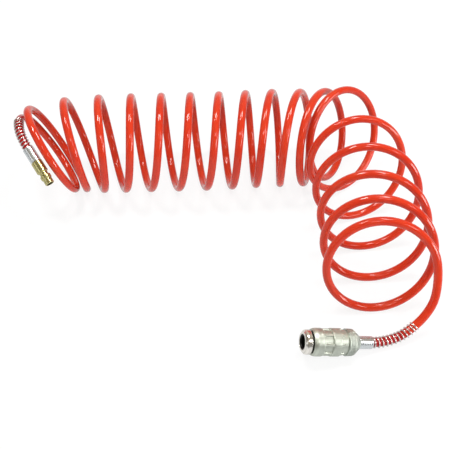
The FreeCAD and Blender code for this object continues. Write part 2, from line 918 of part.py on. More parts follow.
def make_rear_cap(place):
    outline = [
        ("bodyCollarRadius", "-capFront"),
        ("capRadius - smallEdge", "-capFront"),
        ("capRadius", "-capFront - smallEdge"),
        ("capRadius - capTaper", "-capChamferFront"),
        ("capRimRadius", "-capBack"),
        ("capHoleRadius", "-capBack"),
        ("capHoleRadius", "-capWallFront"),
        ("flangeRadius", "-capWallFront"),
        ("flangeRadius", "-bodyBack"),
        ("threadRadius", "-bodyBack"),
        ("threadRadius", "-bodyCollarBack"),
        ("bodyCollarRadius", "-bodyCollarBack"),
    ]
    body = turned_body("rear_cap", outline)
    soften(body, "Fillet", "capRound", [("capRadius - capTaper", "-capChamferFront")])
    finish_piece(body, place)


def make_coupler_tail(place):
    hose_end = "-couplerLength + hoseGrip + endGap"
    tail_end = "-couplerLength + tailShort"
    outline = [
        ("tailBore", "-tailSpigotFront"),
        ("chamberRadius", "-tailSpigotFront"),
        ("chamberRadius", "-bodyBack"),
        ("flangeRadius", "-bodyBack"),
        ("flangeRadius", "-capWallFront"),
        ("tubeRadius", "-capWallFront"),
        ("tubeRadius", hose_end),
    ]
    outline += barb_outline(hose_end, 3)
    outline += [("barbRoot", tail_end), ("tailBore", tail_end)]
    finish_piece(turned_body("coupler_tail", outline), place)


def make_coupler_springs(place):
    gap = size("endGap")
    straight_spring(
        "sleeve_spring", size("sleeveSpringRadius"), size("sleeveWire"),
        size("sleeveLand") + gap, size("bodyCollarFront") - gap, count("sleeveSpringTurns"), place)
    straight_spring(
        "valve_spring", size("valveSpringRadius"), size("valveWire"),
        size("discBack") + gap, size("tailSpigotFront") - gap, count("valveSpringTurns"), place)


# Checks and files

def check_pieces():
    doc.recompute()
    for thing in doc.Objects:
        bad = [state for state in thing.State if state in ("Invalid", "Error")]
        if bad:
            raise RuntimeError(thing.Name + " is " + ", ".join(bad))
    for piece in pieces:
        shape = piece.Shape
        if shape.isNull() or not shape.isValid() or shape.Volume <= 0:
            raise RuntimeError(piece.Label + " has no valid solid")
        if len(shape.Solids) != 1:
            raise RuntimeError(piece.Label + " is in %d solids" % len(shape.Solids))
    names = [piece.Label for piece in pieces]
    if len(set(names)) != len(names):
        raise RuntimeError("two pieces share a name")


def write_pieces():
    os.makedirs("parts", exist_ok=True)
    whole = FreeCAD.BoundBox()
    for piece in pieces:
        piece.Shape.exportStep("parts/" + piece.Label + ".step")
        whole.add(piece.Shape.optimalBoundingBox(False))
    print("%d pieces" % len(pieces))
    print("box x %.2f to %.2f" % (whole.XMin, whole.XMax))
    print("box y %.2f to %.2f" % (whole.YMin, whole.YMax))
    print("box z %.2f to %.2f" % (whole.ZMin, whole.ZMax))


fill_sheet()
set_cone_sizes()
plug_place = fitting_place("plug")
coupler_place = fitting_place("coupler")
stretches = hose_stretches()
plug_end = stretches["hose_plug_end"]
coupler_end = [(place, way * -1) for place, way in reversed(stretches["hose_coupler_end"])]

make_hose(stretches)
guard_spring(
    "plug_bend_spring", plug_end, Vector(1, 0, 0),
    size("plugGuardLength"), count("plugGuardTurns"))
guard_spring(
    "coupler_bend_spring", coupler_end, Vector(0, 0, 1),
    size("couplerGuardLength"), count("couplerGuardTurns"))

make_plug_body(plug_place)
make_ferrule("plug_ferrule", "plugFerruleRadius", "-barrelBack", "-plugLength", plug_place)

make_nose_ring(coupler_place)
make_guide_bush(coupler_place)
make_stop_ring(coupler_place)
make_valve_body(coupler_place)
make_balls(coupler_place)
make_sleeve(coupler_place)
make_socket_seal(coupler_place)
make_valve(coupler_place)
make_rear_cap(coupler_place)
make_coupler_tail(coupler_place)
make_ferrule("coupler_ferrule", "couplerFerruleRadius", "-capBack", "-couplerLength", coupler_place)
make_coupler_springs(coupler_place)

check_pieces()
write_pieces()
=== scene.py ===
import bmesh
import bpy
import json
import numpy as np
from math import cos, pi, radians, sin, tan
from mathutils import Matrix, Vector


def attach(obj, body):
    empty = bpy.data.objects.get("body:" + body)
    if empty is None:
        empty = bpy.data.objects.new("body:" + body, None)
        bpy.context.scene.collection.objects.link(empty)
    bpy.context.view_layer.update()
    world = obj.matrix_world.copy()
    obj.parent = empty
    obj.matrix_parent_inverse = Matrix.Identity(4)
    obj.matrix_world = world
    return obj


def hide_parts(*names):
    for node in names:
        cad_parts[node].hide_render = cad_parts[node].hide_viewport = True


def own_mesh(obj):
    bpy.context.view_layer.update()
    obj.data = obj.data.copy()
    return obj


# Coiled air hose on a white table: a red spiral tube with a quick coupler at one end and a plug at the
# other. Sizes are in millimetres, and become metres when a shape goes into its mesh.

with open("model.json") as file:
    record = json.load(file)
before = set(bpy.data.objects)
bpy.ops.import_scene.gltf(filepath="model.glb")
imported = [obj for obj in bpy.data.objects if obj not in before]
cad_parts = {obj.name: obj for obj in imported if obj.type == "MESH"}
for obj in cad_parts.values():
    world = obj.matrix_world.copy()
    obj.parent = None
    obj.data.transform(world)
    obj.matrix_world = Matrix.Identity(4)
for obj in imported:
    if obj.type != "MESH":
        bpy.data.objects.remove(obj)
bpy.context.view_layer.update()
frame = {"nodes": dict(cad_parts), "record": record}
nodes = frame["nodes"]
millimetre = 0.001


# Shapes

# Rounding takes at most a share of a corner's shorter side, and below the least reach a corner stays a
# point. The points that hold the walls flat stand a little off the arc, by no more than a share of what
# is left of the side.
rounding = {"mostOfSide": 0.45, "leastReach": 1e-4, "hold": 0.15, "holdShare": 0.2}

# Where two faces meet at more than this angle, in degrees, their edge stays sharp.
sharpAngle = {"turned": 38, "tube": 60}


# A closed outline from (radius, depth, rounding) corners. Each rounded corner becomes an exact arc,
# drawn as a rational curve of second degree, with one more point on each side so that flat walls stay
# flat when shaded. Returns the points and, for each, 1 on an arc that stands out and 0 elsewhere.
def roundedOutline(corners, steps):
    places = np.array([corner[:2] for corner in corners], float)
    before, after = np.roll(places, 1, axis=0), np.roll(places, -1, axis=0)
    area = np.sum(before[:, 0] * places[:, 1] - places[:, 0] * before[:, 1])
    points, edges = [], []
    for (here, back, ahead), corner in zip(zip(places, before, after), corners):
        inward, outward = here - back, ahead - here
        shortest = min(np.linalg.norm(inward), np.linalg.norm(outward))
        inward, outward = inward / np.linalg.norm(inward), outward / np.linalg.norm(outward)
        turn = np.arccos(np.clip(inward @ outward, -1, 1))
        standsOut = float((inward[0] * outward[1] - inward[1] * outward[0]) * area > 0)
        reach = min(corner[2] * tan(turn / 2), rounding["mostOfSide"] * shortest)
        if reach < rounding["leastReach"]:
            points.append([here])
            edges.append([standsOut])
            continue
        t = np.linspace(0, 1, steps)[:, None]
        start, end, weight = here - inward * reach, here + outward * reach, cos(turn / 2)
        lower = (1 - t)**2 + 2 * weight * t * (1 - t) + t**2
        arc = ((1 - t)**2 * start + 2 * weight * t * (1 - t) * here + t**2 * end) / lower
        hold = min(rounding["hold"], rounding["holdShare"] * (shortest - reach))
        points += [[start - inward * hold], arc, [end + outward * hold]]
        edges += [[0.0], np.full(steps, standsOut), [0.0]]
    return np.concatenate(points), np.concatenate(edges)


# Points of an outline with long runs divided: each run gets as many equal steps as keep them under the
# longest, so that a pattern pressed into the outline has something to move.
def dividedOutline(points, edges, longest):
    ahead = np.roll(points, -1, axis=0)
    counts = np.maximum(1, np.ceil(np.linalg.norm(ahead - points, axis=1) / longest)).astype(int)
    owner = np.repeat(np.arange(len(points)), counts)
    first = np.cumsum(counts) - counts
    share = ((np.arange(len(owner)) - first[owner]) / counts[owner])[:, None]
    edgeAhead = np.roll(edges, -1)
    return (points[owner] * (1 - share) + ahead[owner] * share,
            edges[owner] * (1 - share[:, 0]) + edgeAhead[owner] * share[:, 0])


# A mesh from a grid of points. Each face joins a point to the next in its row and in the row ahead.
# Every row closes into a ring, and the last row joins the first, or, when capped, each end row gets a
# fan of triangles about its middle. Patterns read the lengths across and along the grid.
def gridMesh(name, grid, lengths, edges=None, capped=False):
    rows, columns = grid.shape[:2]
    count = rows * columns
    rowSteps = rows - 1 if capped else rows
    i, j = np.meshgrid(np.arange(rowSteps), np.arange(columns), indexing="ij")
    nextRow, nextColumn = (i + 1) % rows, (j + 1) % columns
    corners = np.stack([
        i * columns + j, i * columns + nextColumn, nextRow * columns + nextColumn, nextRow * columns + j,
    ], axis=-1).reshape(-1, 4)
    mesh = bpy.data.meshes.new(name)
    points = grid.reshape(-1, 3)
    if capped:
        points = np.concatenate([points, grid[0].mean(axis=0)[None], grid[-1].mean(axis=0)[None]])
    mesh.vertices.add(len(points))
    mesh.vertices.foreach_set("co", (points * millimetre).ravel())
    loops = [corners.ravel()]
    sizes = [np.full(len(corners), 4)]
    if capped:
        ring = np.arange(columns)
        around = (ring + 1) % columns
        last = (rows - 1) * columns
        loops.append(np.stack([np.full(columns, count), around, ring], axis=-1).ravel())
        loops.append(np.stack([np.full(columns, count + 1), last + ring, last + around], axis=-1).ravel())
        sizes.append(np.full(2 * columns, 3))
    loops, sizes = np.concatenate(loops), np.concatenate(sizes)
    mesh.loops.add(len(loops))
    mesh.loops.foreach_set("vertex_index", loops)
    mesh.polygons.add(len(sizes))
    mesh.polygons.foreach_set("loop_start", np.cumsum(sizes) - sizes)
    mesh.polygons.foreach_set("use_smooth", np.ones(len(sizes), bool))
    mesh.update(calc_edges=True)
    across, along = lengths
    u = np.stack([across[j], across[j + 1], across[j + 1], across[j]], axis=-1).reshape(-1)
    v = np.stack([along[i], along[i], along[i + 1], along[i + 1]], axis=-1).reshape(-1)
    flat = np.zeros((len(loops), 2))
    flat[:len(u), 0], flat[:len(u), 1] = u, v
    mesh.uv_layers.new(name="surface").uv.foreach_set("vector", flat.ravel())
    if edges is not None:
        worn = np.zeros(len(points))
        worn[:count] = edges.ravel()
        mesh.attributes.new("edge", "FLOAT", "POINT").data.foreach_set("value", worn)
    return mesh


# Turns the faces of a closed mesh outwards, marks the edges that stay sharp and puts it in the scene.
def finishedObject(mesh, name, kind):
    shell = bmesh.new()
    shell.from_mesh(mesh)
    bmesh.ops.recalc_face_normals(shell, faces=shell.faces)
    shell.to_mesh(mesh)
    shell.free()
    mesh.set_sharp_from_angle(angle=radians(sharpAngle[kind]))
    mesh.update()
    piece = bpy.data.objects.new(name, mesh)
    bpy.context.scene.collection.objects.link(piece)
    return piece


# A smooth step from 0 to 1 as value goes from low to high: with its share of the way as t, t squared
# times three less twice t.
def smoothStep(value, low, high):
    t = np.clip((value - low) / (high - low), 0, 1)
    return t * t * (3 - 2 * t)


# Each vector divided by its own length.
def unit(vectors):
    return vectors / np.linalg.norm(vectors, axis=-1, keepdims=True)


# The way to a heading, in degrees round from the x axis, that rises by an angle above level.
def direction(heading, rise):
    heading, rise = radians(heading), radians(rise)
    return np.array([cos(rise) * cos(heading), cos(rise) * sin(heading), sin(rise)])


# The place of a fitting: its outer end, which is its length ahead of where the hose goes in, a level
# side, the side square to that, and the way it points.
def fittingPlace(fitting):
    outward = direction(fitting["heading"], fitting["rise"])
    level = unit(np.cross([0, 0, 1], outward))
    return {
        "end": np.array(fitting["hoseEntry"]) + outward * fitting["length"],
        "level": level,
        "upper": np.cross(outward, level),
        "outward": outward,
    }


# A surface turned about a fitting's axis: each outline point goes round at its radius, at its depth
# behind the fitting's end. A shape may change the radius with the depth and the angle.
def turnedPiece(name, place, corners, around=112, longest=None, shape=None, steps=5, angles=None):
    outline, worn = roundedOutline(corners, steps)
    if longest:
        outline, worn = dividedOutline(outline, worn, longest)
    angle = np.linspace(0, 2 * pi, around, endpoint=False) if angles is None else angles
    radius, depth = np.broadcast_arrays(outline[:, :1], outline[:, 1:2])
    radius = np.repeat(radius, len(angle), axis=1)
    depth = np.repeat(depth, len(angle), axis=1)
    if shape is not None:
        radius, depth = shape(radius, depth, angle[None, :])
    grid = (place["end"]
            + place["level"] * (radius * np.cos(angle))[..., None]
            + place["upper"] * (radius * np.sin(angle))[..., None]
            - place["outward"] * depth[..., None])
    run = np.linalg.norm(np.roll(outline, -1, axis=0) - outline, axis=1)
    along = np.concatenate([[0], np.cumsum(run)])
    across = np.append(angle, angle[0] + 2 * pi) * outline[:, 0].max()
    edges = np.repeat(worn[:, None], len(angle), axis=1)
    return finishedObject(gridMesh(name, grid, (across, along), edges), name, "turned")


# Rings of a tube: each path point gets a circle in the plane of the two sides given there, the first by
# the angle's cosine and the second by its sine.
def tubeGrid(path, side, upper, radius, around):
    angle = np.linspace(0, 2 * pi, around, endpoint=False)[None, :, None]
    return path[:, None] + radius * (side[:, None] * np.cos(angle) + upper[:, None] * np.sin(angle))


# Materials

# Most of a noise's values lie between these two.
noiseSpan = (0.3, 0.7)


# A new material whose plain shader goes straight to its output, with its node tree and that shader.
def newMaterial(name):
    material = bpy.data.materials.new(name)
    material.use_nodes = True
    tree = material.node_tree
    tree.nodes.clear()
    output = tree.nodes.new("ShaderNodeOutputMaterial")
    shader = tree.nodes.new("ShaderNodeBsdfPrincipled")
    tree.links.new(shader.outputs["BSDF"], output.inputs["Surface"])
    return material, tree, shader


# A node with its settings and inputs. An input given as a socket is linked, and any other is set. An
# input named i and a number is the socket in that place.
def addNode(tree, kind, settings=None, **inputs):
    node = tree.nodes.new(kind)
    for key, value in (settings or {}).items():
        setattr(node, key, value)
    for key, value in inputs.items():
        numbered = key[0] == "i" and key[1:].isdigit()
        socket = node.inputs[int(key[1:]) if numbered else key]
        if isinstance(value, bpy.types.NodeSocket):
            tree.links.new(value, socket)
        else:
            socket.default_value = value
    return node


# Cloudy noise at a place: layers of it are summed, each finer and weaker than the one before.
def noise(tree, place, scale, detail=4.0, roughness=0.55):
    node = addNode(
        tree, "ShaderNodeTexNoise", Vector=place, Scale=scale, Detail=detail, Roughness=roughness)
    return node.outputs["Fac"]


# A value's share of the way from low to high, held between 0 and 1, as the same share of the new range.
def remap(tree, value, low, high, newLow, newHigh):
    node = addNode(tree, "ShaderNodeMapRange", i0=value, i1=low, i2=high, i3=newLow, i4=newHigh)
    return node.outputs[0]


# The first colour times what is left of the share, plus the second times the share.
def mixColours(tree, share, first, second):
    node = addNode(tree, "ShaderNodeMix", {"data_type": "RGBA"}, i0=share, i6=first, i7=second)
    return node.outputs[2]


# Two numbers put together by a named operation, such as a sum or the larger of the two.
def combine(tree, operation, first, second):
    return addNode(tree, "ShaderNodeMath", {"operation": operation}, i0=first, i1=second).outputs[0]


# The surface's normal, tilted against the slope of a height, on top of an earlier tilt if there is one.
def bump(tree, height, strength, distance, normal=None):
    node = addNode(tree, "ShaderNodeBump", Strength=strength, Distance=distance, Height=height)
    if normal is not None:
        tree.links.new(normal, node.inputs["Normal"])
    return node.outputs["Normal"]


# The finish of every metal. A detail is a noise's own, with its roughness where that matters. Each range
# is low and high in the noise, then the values there, and the depths are in metres.
metalDetail = {
    "toneDetail": 3.0,
    "grainDetail": (6.0, 0.7),
    "grainDepth": 0.0002,
    "rubbed": (0.35, 0.65, 0.4, 1.0),
    "stainDetail": (5.0, 0.6),
    "stained": (0.56, 0.72),
    "ringDetail": 3.0,
    "ringDepth": 0.0001,
}

# A metal's tones as shares of its colour, and its other values unless they are given.
metalTones = {"colour": 1.0, "colourTwo": 0.88, "edgeColour": 1.12, "stainColour": 0.6}
metalLook = {
    "stain": 0.35,
    "stainScale": 260.0,
    "toneScale": 90.0,
    "grainScale": 2600.0,
    "grainBump": 0.12,
    "roughness": 0.2,
    "roughSpread": 0.05,
    "rings": 0.25,
    "ringScale": 9.0,
    "ringRough": 0.03,
}


# Plated or bare metal: tone wanders slowly, roughness has fine grain, edges are rubbed brighter, and a
# turned piece carries the lathe's fine rings, which follow its outline's own length.
def metalFinish(name, look):
    material, tree, shader = newMaterial(name)
    place = addNode(tree, "ShaderNodeTexCoord").outputs["Object"]
    tone = noise(tree, place, look["toneScale"], metalDetail["toneDetail"])
    grain = noise(tree, place, look["grainScale"], *metalDetail["grainDetail"])
    stain = noise(tree, place, look["stainScale"], *metalDetail["stainDetail"])
    edge = addNode(tree, "ShaderNodeAttribute", {"attribute_name": "edge"}).outputs["Fac"]
    rubbed = combine(tree, "MULTIPLY", edge, remap(tree, grain, *metalDetail["rubbed"]))
    base = mixColours(tree, remap(tree, tone, *noiseSpan, 0.0, 1.0), look["colour"], look["colourTwo"])
    stained = remap(tree, stain, *metalDetail["stained"], 0.0, look["stain"])
    base = mixColours(tree, stained, base, look["stainColour"])
    tree.links.new(mixColours(tree, rubbed, base, look["edgeColour"]), shader.inputs["Base Color"])
    smoothest, roughest = look["roughness"] - look["roughSpread"], look["roughness"] + look["roughSpread"]
    rough = remap(tree, grain, *noiseSpan, smoothest, roughest)
    normal = bump(tree, grain, look["grainBump"], metalDetail["grainDepth"])
    if look["rings"] > 0:
        uv = addNode(tree, "ShaderNodeUVMap", {"uv_map": "surface"}).outputs["UV"]
        along = addNode(tree, "ShaderNodeSeparateXYZ", Vector=uv).outputs["Y"]
        lines = addNode(tree, "ShaderNodeTexNoise", {"noise_dimensions": "1D"}, W=along,
                        Scale=look["ringScale"], Detail=metalDetail["ringDetail"]).outputs["Fac"]
        ringRough = remap(tree, lines, *noiseSpan, -look["ringRough"], look["ringRough"])
        rough = combine(tree, "ADD", rough, ringRough)
        normal = bump(tree, lines, look["rings"], metalDetail["ringDepth"], normal)
    tree.links.new(rough, shader.inputs["Roughness"])
    tree.links.new(normal, shader.inputs["Normal"])
    shader.inputs["Metallic"].default_value = 1.0
    return material


# A metal from its colour: each tone is a share of it, up to full. Any value can be changed by its name.
def metal(name, colour, **changes):
    look = {key: tuple(min(1, c * share) for c in colour) for key, share in metalTones.items()}
    look.update({**metalLook, **changes})
    for key in metalTones:
        look[key] = (*look[key], 1)
    return metalFinish(name, look)


# The hose's length in millimetres, which its finish and its cord both read.
hoseLength = 6011.0

# Each scale is a noise's scale and detail, some with its roughness. Each range is low and high in the
# noise, then the values there. Each bump is a strength and a depth in metres.
hoseLook = {
    "colours": ((0.54, 0.034, 0.010, 1), (0.47, 0.020, 0.007, 1)),
    "driftScale": (22.0, 3.0),
    "lineColour": (0.62, 0.075, 0.016, 1),
    "lineScale": (9.0, 4.0, 0.6),
    "lineRange": (0.45, 0.75, 0.0, 0.35),
    "lineStretch": 0.012,
    "lineSpread": 0.25,
    "dustColour": (0.75, 0.35, 0.28, 1),
    "dustScale": (900.0, 5.0, 0.7),
    "dustRange": (0.6, 0.8, 0.0, 0.08),
    # painted shade under the two bend springs: a darker red near each end of the hose
    "springShadeColour": (0.33, 0.008, 0.009, 1),
    # millimetres from the nearer end
    "springShadeRange": (62.0, 76.0, 0.95, 0.0),
    "roughRange": (0.35, 0.75, 0.04, 0.09),
    "roughLines": (0.4, 0.7, -0.02, 0.03),
    "lineBump": (0.14, 0.0004),
    "waveScale": (160.0, 2.0),
    "waveBump": (0.07, 0.0006),
    "shader": {
        "IOR": 1.43, "Subsurface Weight": 0.12, "Subsurface Radius": (1.0, 0.12, 0.05),
        "Subsurface Scale": 0.002, "Coat Weight": 0.1, "Coat Roughness": 0.04,
    },
}


# Glossy, slightly translucent polyurethane: light spreads a little under its skin, thicker and thinner
# stretches shift its red, and faint lines run along it from its making. The lines are noise on a tall
# cylinder: the cosine and sine of the way round, and a small share of the way along. Under the two bend
# springs the hose is painted a darker red: painted shade from the springs' wire.
def hoseFinish():
    material, tree, shader = newMaterial("red_polyurethane")
    place = addNode(tree, "ShaderNodeTexCoord").outputs["Object"]
    uv = addNode(tree, "ShaderNodeUVMap", {"uv_map": "surface"}).outputs["UV"]
    parts = addNode(tree, "ShaderNodeSeparateXYZ", Vector=uv).outputs
    turn = combine(tree, "MULTIPLY", parts["X"], hoseLook["lineSpread"])
    aroundX, aroundY = combine(tree, "COSINE", turn, 0.0), combine(tree, "SINE", turn, 0.0)
    along = combine(tree, "MULTIPLY", parts["Y"], hoseLook["lineStretch"])
    lineSpace = addNode(tree, "ShaderNodeCombineXYZ", X=aroundX, Y=aroundY, Z=along).outputs["Vector"]
    lines = noise(tree, lineSpace, *hoseLook["lineScale"])
    drift = noise(tree, place, *hoseLook["driftScale"])
    dust = noise(tree, place, *hoseLook["dustScale"])
    base = mixColours(tree, remap(tree, drift, *noiseSpan, 0.0, 1.0), *hoseLook["colours"])
    base = mixColours(tree, remap(tree, lines, *hoseLook["lineRange"]), base, hoseLook["lineColour"])
    base = mixColours(tree, remap(tree, dust, *hoseLook["dustRange"]), base, hoseLook["dustColour"])
    # painted shade: the hose is darker red near each end, under the bend springs
    fromFarEnd = combine(tree, "SUBTRACT", hoseLength, parts["Y"])
    fromEnd = combine(tree, "MINIMUM", parts["Y"], fromFarEnd)
    base = mixColours(tree, remap(tree, fromEnd, *hoseLook["springShadeRange"]), base, hoseLook["springShadeColour"])
    tree.links.new(base, shader.inputs["Base Color"])
    dustRough = remap(tree, dust, *hoseLook["roughRange"])
    lineRough = remap(tree, lines, *hoseLook["roughLines"])
    tree.links.new(combine(tree, "ADD", dustRough, lineRough), shader.inputs["Roughness"])
    normal = bump(tree, lines, *hoseLook["lineBump"])
    normal = bump(tree, noise(tree, place, *hoseLook["waveScale"]), *hoseLook["waveBump"], normal)
    tree.links.new(normal, shader.inputs["Normal"])
    for key, value in hoseLook["shader"].items():
        shader.inputs[key].default_value = value
    return material


rubberLook = {
    "colours": ((0.012, 0.012, 0.013, 1), (0.035, 0.034, 0.033, 1)),
    "speckleScale": (1800.0, 5.0, 0.7),
    "roughness": (0.42, 0.6),
    "bump": (0.25, 0.0002),
}


# Dull black rubber: one fine noise moves its tone, its roughness and its surface together.
def rubberFinish():
    material, tree, shader = newMaterial("black_rubber")
    place = addNode(tree, "ShaderNodeTexCoord").outputs["Object"]
    speckle = noise(tree, place, *rubberLook["speckleScale"])
    tree.links.new(mixColours(tree, speckle, *rubberLook["colours"]), shader.inputs["Base Color"])
    tree.links.new(remap(tree, speckle, *noiseSpan, *rubberLook["roughness"]), shader.inputs["Roughness"])
    tree.links.new(bump(tree, speckle, *rubberLook["bump"]), shader.inputs["Normal"])
    return material


finishes = {
    "red_hose": hoseFinish(),
    "polished_nickel": metal(
        "polished_nickel", (0.90, 0.87, 0.81), roughness=0.2, roughSpread=0.04, rings=0.08,
        grainBump=0.04),
    "satin_nickel": metal(
        "satin_nickel", (0.61, 0.65, 0.57), roughness=0.42, roughSpread=0.06, rings=0.3, ringRough=0.05),
    "coarse_nickel": metal(
        "coarse_nickel", (0.56, 0.60, 0.54), colourTwo=(0.38, 0.42, 0.37), toneScale=420.0,
        stainColour=(0.26, 0.28, 0.25), stain=0.6, stainScale=650.0, roughness=0.36, roughSpread=0.1,
        grainBump=0.9, rings=0.0),
    "bright_ferrule": metal(
        "bright_ferrule", (0.80, 0.84, 0.86), roughness=0.26, roughSpread=0.04, rings=0.15),
    "zinc_plug": metal(
        "zinc_plug", (0.62, 0.54, 0.25), colourTwo=(0.50, 0.50, 0.24), stainColour=(0.6, 0.42, 0.16),
        stain=0.5, roughness=0.2, rings=0.3),
    "spring_steel": metal("spring_steel", (0.88, 0.85, 0.83), roughness=0.26, rings=0.1, ringScale=3.0),
    "dark_steel": metal("dark_steel", (0.035, 0.035, 0.035), roughness=0.32, rings=0.2),
    "brass_valve": metal("brass_valve", (0.70, 0.50, 0.20), roughness=0.24, rings=0.0),
    "black_seal": rubberFinish(),
}
for part in frame["record"]["subparts"]:
    node = nodes[part["node"]]
    node.data.materials.clear()
    node.data.materials.append(finishes[part["material_slot"]])
print("finishes are on the frame's own nodes")


# Gives a new piece its finish, the body that it moves with and the nodes that it stands for.
def dress(piece, slot, body, *stoodFor):
    piece.data.materials.append(finishes[slot])
    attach(piece, body)
    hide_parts(*stoodFor)
    return piece


# Hose

hose = {
    "length": hoseLength,
    "tubeRadius": 4.25,
    "boreRadius": 3.0,
    # the oval's two sides as shares of the round tube's, and how far from its end it is round, and oval
    "wide": 1.047,
    "high": 0.965,
    "roundEnd": 60.0,
    "ovalFrom": 140.0,
    "coilRadius": 53.5,
    "flatDepth": 0.5,
    "grip": 15.5,
    "firstTurn": 0.3,
    "lastTurn": 17.2,
    "pointsPerTurn": 16,
    "ringsPerPoint": 4,
    "around": 32,
    # how far the pattern moves on over the ring that joins the two skins
    "endRing": 1,
    # turn, x, y, heading of the loops' axis, and how far the loops lean back
    "stations": [
        (0, -202, 93, 19, 27.4), (1, -188, 96, 26, 21), (2, -161, 99, 20, 7), (4, -98, 103, 11, -4),
        (7, 1, 107, 3, -2), (9, 61, 112, -5, 1), (10, 92, 113, -12, 3), (11, 121, 115, -24, 9),
        (12, 147, 123, -44, 13), (13, 158, 71, -72, 7), (14, 165, 21, -87, 9), (15.5, 165, -45, -94, 13),
        (17.25, 164, -103, -88, 26)],
    "plugRoute": [
        (-213.1, 72.2, 95), (-216.3, 82.7, 97.8), (-218.5, 93.7, 96.7), (-220.3, 105.2, 91.5),
        (-222.3, 114.9, 85.1), (-222.7, 139.2, 67)],
    "couplerRoute": [
        (216.1, -111.3, 36.9), (206.6, -121.8, 22.4), (194.3, -129.5, 12.4), (179.5, -137.3, 6.5)],
}
# Where the hose goes into each fitting, the way that it points, in degrees, and how long it is.
plug = {"hoseEntry": (-203.5, 58.0, 84.5), "heading": -49.5, "rise": -33.5, "length": 46.0}
coupler = {"hoseEntry": (152.3, -144.1, 8.6), "heading": -171.4, "rise": 12.8, "length": 70.4}


# x, y, heading and lean at each turn, on a curve of third degree through the stations, whose slope at
# each one is that of the line between its two neighbours.
def betweenStations(turns):
    table = np.array(hose["stations"], float)
    knots, values = table[:, 0], table[:, 1:]
    last = len(knots) - 1
    ahead, behind = np.minimum(np.arange(last + 1) + 1, last), np.maximum(np.arange(last + 1) - 1, 0)
    slopes = (values[ahead] - values[behind]) / (knots[ahead] - knots[behind])[:, None]
    i = np.clip(np.searchsorted(knots, turns, side="right") - 1, 0, last - 1)
    step = (knots[i + 1] - knots[i])[:, None]
    t = ((turns - knots[i]) / step[:, 0])[:, None]
    return ((2 * t**3 - 3 * t**2 + 1) * values[i] + (t**3 - 2 * t**2 + t) * step * slopes[i]
            + (3 * t**2 - 2 * t**3) * values[i + 1] + (t**3 - t**2) * step * slopes[i + 1])


# The route's points round the loops: whole turns are at the top, and half turns rest on the table. The
# loop's radius is divided by the cosine of half a step, because the line runs inside its points.
def loopPoints(turns):
    x, y, heading, lean = betweenStations(turns).T
    heading, lean, angle = np.radians(heading), np.radians(lean), 2 * pi * turns
    reach = hose["coilRadius"] / cos(pi / hose["pointsPerTurn"])
    up, side = reach * np.cos(angle), reach * np.sin(angle)
    centre = hose["coilRadius"] * np.cos(lean) + hose["tubeRadius"] - hose["flatDepth"]
    return np.stack([
        x - up * np.sin(lean) * np.cos(heading) - side * np.sin(heading),
        y - up * np.sin(lean) * np.sin(heading) + side * np.cos(heading),
        centre + up * np.cos(lean)], axis=-1)


# The whole route, from inside one ferrule to inside the other, with the loops' heading at each point.
def hoseRoute():
    leave = -direction(plug["heading"], plug["rise"])
    arrive = direction(coupler["heading"], coupler["rise"])
    start, end = np.array(plug["hoseEntry"]), np.array(coupler["hoseEntry"])
    straight, grip = 2 * hose["tubeRadius"], hose["grip"]
    steps = int(round((hose["lastTurn"] - hose["firstTurn"]) * hose["pointsPerTurn"]))
    turns = np.linspace(hose["firstTurn"], hose["lastTurn"], steps + 1)
    before = [start - leave * grip, start, start + leave * straight, *hose["plugRoute"]]
    after = [*hose["couplerRoute"], end - arrive * straight, end, end + arrive * grip]
    headings = betweenStations(turns)[:, 2]
    first, last = np.full(len(before), headings[0]), np.full(len(after), headings[-1])
    return np.concatenate([before, loopPoints(turns), after]), np.concatenate([first, headings, last])


# The smooth line that the route's points control, as the curve itself gives it.
def smoothLine(points, perPoint):
    curve = bpy.data.curves.new("route", "CURVE")
    curve.dimensions = "3D"
    spline = curve.splines.new("NURBS")
    spline.points.add(len(points) - 1)
    spline.points.foreach_set("co", np.column_stack([points * millimetre, np.ones(len(points))]).ravel())
    spline.order_u = 3
    spline.use_endpoint_u = True
    spline.resolution_u = perPoint
    carrier = bpy.data.objects.new("route", curve)
    bpy.context.scene.collection.objects.link(carrier)
    bpy.context.view_layer.update()
    line = bpy.data.meshes.new_from_object(carrier)
    found = np.empty(len(line.vertices) * 3)
    line.vertices.foreach_get("co", found)
    bpy.data.objects.remove(carrier)
    bpy.data.curves.remove(curve)
    bpy.data.meshes.remove(line)
    return found.reshape(-1, 3) / millimetre


# How far along a path each point is: the sum of the distances between neighbours up to it.
def pathLength(path):
    return np.concatenate([[0], np.cumsum(np.linalg.norm(np.diff(path, axis=0), axis=1))])


